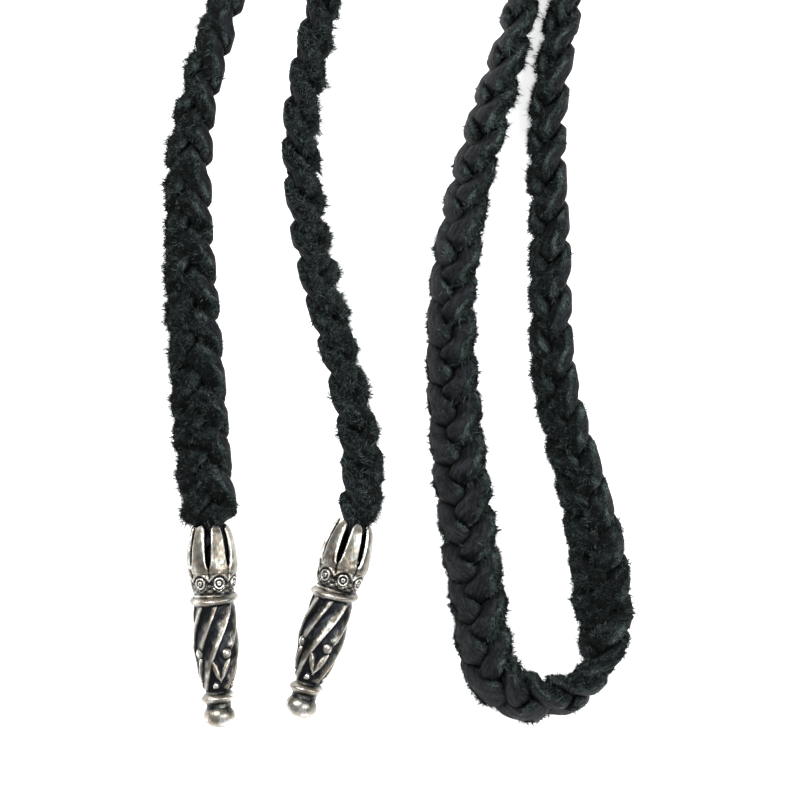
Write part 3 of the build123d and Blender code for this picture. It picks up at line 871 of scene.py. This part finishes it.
def casting_radius(place, angle):
    """How far out the cast surface is, at each place along the axis and angle round it."""
    radius = read_off(PROFILE, place)
    for work in (with_ribs, with_claws, with_marks):
        radius = work(radius, place, angle)
    bumps = field(on_surface(radius, place, angle).reshape(-1, 3), *CAST_BUMPS)[:, 0]
    radius = radius + CAST_UNEVENNESS * bumps.reshape(radius.shape)
    radius = np.maximum(radius, torus_reach(place, angle, *COLLAR))
    return np.maximum(radius, torus_reach(place, angle, *RING))


def claw_half_angle(place):
    """Half of the angle that one claw takes up: all of its share below the slots."""
    down = np.clip(place / SLOT_LENGTH, 0, 1)
    slot = SLOT_HALF_WIDTH * (1 - down**6) ** 0.5
    from_end = 1 - np.clip(place / CLAW_END_LENGTH, 0, 1)
    narrowed = CLAW_END_NARROWING * (1 - np.sqrt(1 - from_end**2))
    return np.maximum(np.pi / CLAWS - (slot + narrowed) / read_off(PROFILE, place), 0)


def moved_mean(heights, reach):
    """Mean height round each point, over so many rows and columns to each side."""
    total = 0.0
    for i in range(-reach, reach + 1):
        row = np.clip(np.arange(len(heights)) + i, 0, len(heights) - 1)
        for j in range(-reach, reach + 1):
            total = total + np.roll(heights[row], j, axis=1)
    return total / ((2 * reach + 1) * (2 * reach + 1))


POLISH = {
    # how bright a level place is rubbed, and what broad and fine relief add to that
    "smooth": (0.53, 1.3, 2.6), "ribs": (0.36, 1.9, 3.2), "band": (0.3, 2.0, 4.0),
}
POLISH_CLOUDS = (33, 3.2)  # seed and length
RELIEF_END = 34.6  # place past which the ball is even
PAINTED_NECK_SHADE = (0.2, 33.0, 35.4)  # painted shade: how much darker the neck behind the ball and the near half of the ball are, from and to
PAINTED_BALL_HIGHLIGHT = (0.1, 34.8, 2.2)  # painted highlight: how much brighter the ball's end is, from and over
RING_SHADE = (0.07, 1.3)  # how much darker the rings are, and how far to each side
RIB_RISE = 0.7  # above the stem's floor at which a rib is fully rubbed
BAND_SHADE_END = 12.9


def polish(radius, place, angle):
    """How bright each point was rubbed, from 0 to 1: what stands proud of its surroundings, with
    painted shade on the ball's near half and a painted highlight at its end.
    """
    off_ball = place < RELIEF_END
    broad = off_ball * (radius - moved_mean(radius, 4))
    fine = off_ball * (radius - moved_mean(radius, 1))

    def rubbed(where, height=1.0):
        level, by_broad, by_fine = POLISH[where]
        return level * height + by_broad * broad + by_fine * fine

    clouds = field(on_surface(radius, place, angle).reshape(-1, 3), *POLISH_CLOUDS)[:, 1]
    bright = rubbed("smooth") + 0.12 * clouds.reshape(place.shape)
    # painted shade: the neck and the near half of the ball are darkened
    amount, begins, ends = PAINTED_NECK_SHADE
    amount = amount * smooth((place - begins) / 0.5)
    bright = bright - amount * smooth((ends - place) / 1.4)
    # painted highlight: the far end of the ball is brightened
    amount, begins, over = PAINTED_BALL_HIGHLIGHT
    bright = bright + amount * smooth((place - begins) / over)
    amount, beside = RING_SHADE
    for ring_at in (COLLAR[0], RING[0]):
        bright = bright - amount * (np.abs(place - ring_at) < beside)
    raised = np.clip((radius - read_off(PROFILE, place)) / RIB_RISE, 0, 1)
    on_stem = (place > STEM[0]) & (place < STEM[1])
    bright = np.where(on_stem, rubbed("ribs", raised), bright)
    on_band = (place < BAND_SHADE_END) & (place > claw_foot(angle))
    bright = np.where(on_band, rubbed("band"), bright)
    return np.clip(bright, 0, 1)


rows = np.concatenate([np.linspace(a, b, n, endpoint=False) for a, b, n in ROW_MARKS])
ball_rows = BALL[0] - BALL[2] / 2 * np.cos(np.linspace(0.62, np.pi - 0.12, BALL_ROWS))
rows = np.concatenate([rows[rows < ball_rows[0] - 0.05], ball_rows])
across_claw = np.linspace(-1, 1, CLAW_COLUMNS + 1)
half_angles = claw_half_angle(rows)
place = np.broadcast_to(rows[:, None], (len(rows), CLAW_COLUMNS + 1))
ball_share = np.clip((place - BALL[0]) / (BALL[2] / 2), -1, 1)
ball_radius = BALL[1] * (1 - ball_share**2) ** 0.45
ball_radius = np.maximum(ball_radius, np.where(place < BALL[0], NECK[1], 0.0))

columns = np.arange(CLAWS * CLAW_COLUMNS)
full_turn = np.pi / 2 + 2 * np.pi * (columns / CLAW_COLUMNS - 0.5) / CLAWS
turn_place, turn_angle = np.broadcast_arrays(place[:, :1], full_turn[None])
turn_radius = casting_radius(turn_place, turn_angle)
turn_radius = np.where(turn_place > NECK[0], ball_radius[:, :1], turn_radius)
# how bright the silver was rubbed, with the painted shade and highlight on the ball
turn_polish = polish(turn_radius, turn_place, turn_angle)

inner_rows = rows[rows < SOCKET_DEPTH]
inner_radius = read_off(SOCKET, inner_rows)[:, None]
slot_rows = min(np.sum(inner_rows < SLOT_LENGTH + 0.05), len(inner_rows) - 1)
points, faces, worn_and_painted_light, count = [], [], [], 0
for claw in range(CLAWS):
    own_middle = np.pi / 2 + 2 * np.pi * claw / CLAWS
    angle = own_middle + across_claw[None, :] * half_angles[:, None]
    radius = np.where(place > NECK[0], ball_radius, casting_radius(place, angle))
    in_slots = smooth((SLOT_LENGTH + 0.3 - place) / 0.4)
    from_edge = (1 - np.abs(across_claw))[None, :] * half_angles[:, None] * radius
    radius = radius - CLAW_RIM[0] * in_slots * np.exp(-(from_edge / CLAW_RIM[1]) ** 2)
    outer = on_surface(radius, place, angle)
    column = (angle - full_turn[0]) / (2 * np.pi) * len(full_turn)
    low = np.floor(column).astype(int) % len(full_turn)
    share = column - np.floor(column)
    row = np.arange(len(rows))[:, None]
    next_one = (low + 1) % len(full_turn)
    wear_and_painted_light = turn_polish[row, low] * (1 - share) + turn_polish[row, next_one] * share
    rim_shine, rim_at, rim_width = RIM_SHINE
    bright_rim = np.exp(-((from_edge - rim_at) / rim_width) ** 2) - 0.16
    wear_and_painted_light = wear_and_painted_light + rim_shine * in_slots * bright_rim
    inner_angle = angle[: len(inner_rows), ::INNER_EVERY]
    inner_place = place[: len(inner_rows), ::INNER_EVERY]
    inner = on_surface(inner_radius, inner_place, inner_angle)

    start_outer = count
    start_inner = start_outer + wear_and_painted_light.size
    count = start_inner + inner_place.size
    ends = [(0, 0, inner_rows[-1]), (0, 0, BALL[0] + BALL[2] / 2)]
    points += [outer.reshape(-1, 3), inner.reshape(-1, 3), np.array(ends)]
    worn_and_painted_light += [wear_and_painted_light.ravel(), np.zeros(inner_place.size), np.array((0.0, 0.6))]
    for start, skin, flip in ((start_outer, outer, False), (start_inner, inner, True)):
        high, wide = skin.shape[:2]
        i, j = np.meshgrid(np.arange(high - 1), np.arange(wide - 1), indexing="ij")
        corner = start + i * wide + j
        quads = np.stack([corner, corner + 1, corner + wide + 1, corner + wide], -1).reshape(-1, 4)
        faces.append(quads[:, ::-1] if flip else quads)
    wide, thin = outer.shape[1], inner.shape[1]
    i = np.arange(slot_rows)
    for outer_side, inner_side, flip in ((0, 0, True), (wide - 1, thin - 1, False)):
        a, b = start_outer + i * wide + outer_side, start_inner + i * thin + inner_side
        quads = np.stack([a, b, b + thin, a + wide], -1)
        faces.append(quads[:, ::-1] if flip else quads)
    for last_row, across_row, end, flip in (
        (start_inner + (len(inner_rows) - 1) * thin, thin, count, True),
        (start_outer + (len(rows) - 1) * wide, wide, count + 1, False),
    ):
        j = last_row + np.arange(0, across_row - 1, 2)
        quads = np.stack([j, j + 1, j + 2, np.full_like(j, end)], -1)
        faces.append(quads[:, ::-1] if flip else quads)
    count += len(ends)
casting_points = np.vstack(points)
casting_faces = np.vstack(faces)
casting_worn_and_painted_light = np.clip(np.concatenate(worn_and_painted_light), 0, 1)

POLISHED = (0.66, 0.635, 0.60)
PATINA = (0.212, 0.180, 0.142)
PATINA_GREY = (0.140, 0.146, 0.128)
BLACKENED = (0.012, 0.013, 0.015)
SCRATCH_DEPTH = 0.00007  # in metres
TARNISH = {"scale": 500.0, "detail": 5.0, "roughness": 0.65}
SCRATCHES = {"scale": 2600.0, "detail": 4.0, "roughness": 0.65}
SCRATCH_STRETCH = (1.0, 0.3, 1.0)
SILVER_ROUGHNESS = (0.34, 0.26)  # where blackened, and where polished

silver = Finish("old_silver")
# how bright the silver was rubbed, with painted shade and a painted highlight on the ball
wear_and_painted_light = silver.read("worn_and_painted_light")
spot = silver.add("TexCoord").outputs["Object"]
tarnish = silver.noise(spot, **TARNISH)
scratch = silver.noise(silver.stretch(spot, SCRATCH_STRETCH), **SCRATCHES)
shine = silver.plus(wear_and_painted_light, tarnish, 0.95, middle=0.5)
shine = silver.plus(shine, scratch, 0.5, middle=0.5)
patina = silver.mix(silver.step(tarnish, 0.4, 0.62), PATINA, PATINA_GREY)
dull = silver.mix(silver.step(shine, 0.08, 0.5), BLACKENED, patina)
colour = silver.mix(silver.step(shine, 0.5, 0.98), dull, POLISHED)
silver_rough = silver.step(shine, 0.0, 1.0, *SILVER_ROUGHNESS)
relief = silver.math("ADD", tarnish, scratch)
silver.surface({
    "Base Color": colour, "Metallic": 1.0, "Roughness": silver_rough,
    "Normal": silver.bump(relief, SCRATCH_DEPTH),
})


def tip_axes(inner_run, outer_run, roll):
    """Where a casting lies: its mouth on the plait's line, its axis dipping to the ball."""
    inner, outer = lie_of_plait(np.array([inner_run, outer_run]))[0]
    flat = np.array((*(inner - outer)[:2], 0.0))
    flat /= np.linalg.norm(flat)
    axis = flat * np.cos(TIP_DIP) - np.array((0, 0, np.sin(TIP_DIP)))
    side = np.cross((0, 0, 1), flat)
    up = np.cross(axis, side)
    x_way = side * np.cos(np.radians(roll)) + up * np.sin(np.radians(roll))
    return np.array((*outer[:2], MOUTH_HEIGHT)), x_way, np.cross(axis, x_way), axis


for name, inner_run, outer_run in (
    ("right_tip", 0.0, SEAT_DEPTH), ("left_tip", PLAIT_LENGTH, PLAIT_LENGTH - SEAT_DEPTH),
):
    mouth, x_way, y_way, axis = tip_axes(inner_run, outer_run, CAST_ROLL[name])
    laid = mouth + casting_points @ np.stack([x_way, y_way, axis])
    laid[:, 2] = np.maximum(laid[:, 2], 0.0)
    tip = add_mesh(name.replace("tip", "casting"), laid, casting_faces)
    paint(tip, "worn_and_painted_light", casting_worn_and_painted_light)
    tip.data.materials.append(silver.material)
    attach(tip, "root")
    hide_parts(name)

# The table and the light. The necklace lies on a plain white sheet under two wide soft lamps
# and a pale sky, as for catalogue photographs, with the camera straight above its lower part.
FLOOR_HALF = 2000.0
PAPER_WHITE = (0.93, 0.93, 0.93)
PAPER_ROUGHNESS = 0.9
PAPER_GLINT = 0.1
PAPER_GLOW = 0.7  # so that the sheet stays white close to the necklace
SKY = (0.97, 0.985, 1.0, 1)
SKY_STRENGTH = 0.78
LAMPS = [
    # name, place in metres, power, size
    ("lamp_left", (-0.45, 0.42, 0.75), 13.0, 0.45),
    ("lamp_right", (0.6, -0.05, 0.7), 8.0, 0.5),
]
LAMP_AIM = Vector((0, -0.07, 0))
SCALE = 0.185  # millimetres of the necklace across one pixel
PICTURE_WIDTH = 800
CAMERA_HEIGHT = 1.2
NECKLACE_LEVEL = 0.005  # in metres, where the scale holds
SENSOR_WIDTH = 36.0

corners = np.array([(-1, -1, 0), (1, -1, 0), (1, 1, 0), (-1, 1, 0)]) * FLOOR_HALF
floor = add_mesh("floor", corners, [(0, 1, 2, 3)], smooth_shaded=False)
paper = Finish("white_paper")
paper.surface({
    "Base Color": PAPER_WHITE, "Roughness": PAPER_ROUGHNESS, "Specular IOR Level": PAPER_GLINT,
    "Emission Color": (1, 1, 1), "Emission Strength": PAPER_GLOW,
})
floor.data.materials.append(paper.material)

world = bpy.data.worlds.new("studio")
world.use_nodes = True
sky = world.node_tree.nodes["Background"].inputs
sky["Color"].default_value = SKY
sky["Strength"].default_value = SKY_STRENGTH
bpy.context.scene.world = world
for name, stands_at, power, size in LAMPS:
    lamp = bpy.data.lights.new(name, "AREA")
    lamp.energy = power
    lamp.size = size
    stand = put(name, lamp)
    stand.location = stands_at
    stand.rotation_euler = (LAMP_AIM - Vector(stands_at)).to_track_quat("-Z", "Y").to_euler()

eye = bpy.data.cameras.new("camera")
eye.sensor_width = SENSOR_WIDTH
in_view = PICTURE_WIDTH * SCALE * 0.001
eye.lens = SENSOR_WIDTH * (CAMERA_HEIGHT - NECKLACE_LEVEL) / in_view
camera = put("camera", eye)
camera.location = (-0.001 * LAYOUT_CENTRE[0], -0.001 * LAYOUT_CENTRE[1], CAMERA_HEIGHT)
bpy.context.scene.camera = camera
bpy.context.scene.view_settings.view_transform = "Standard"
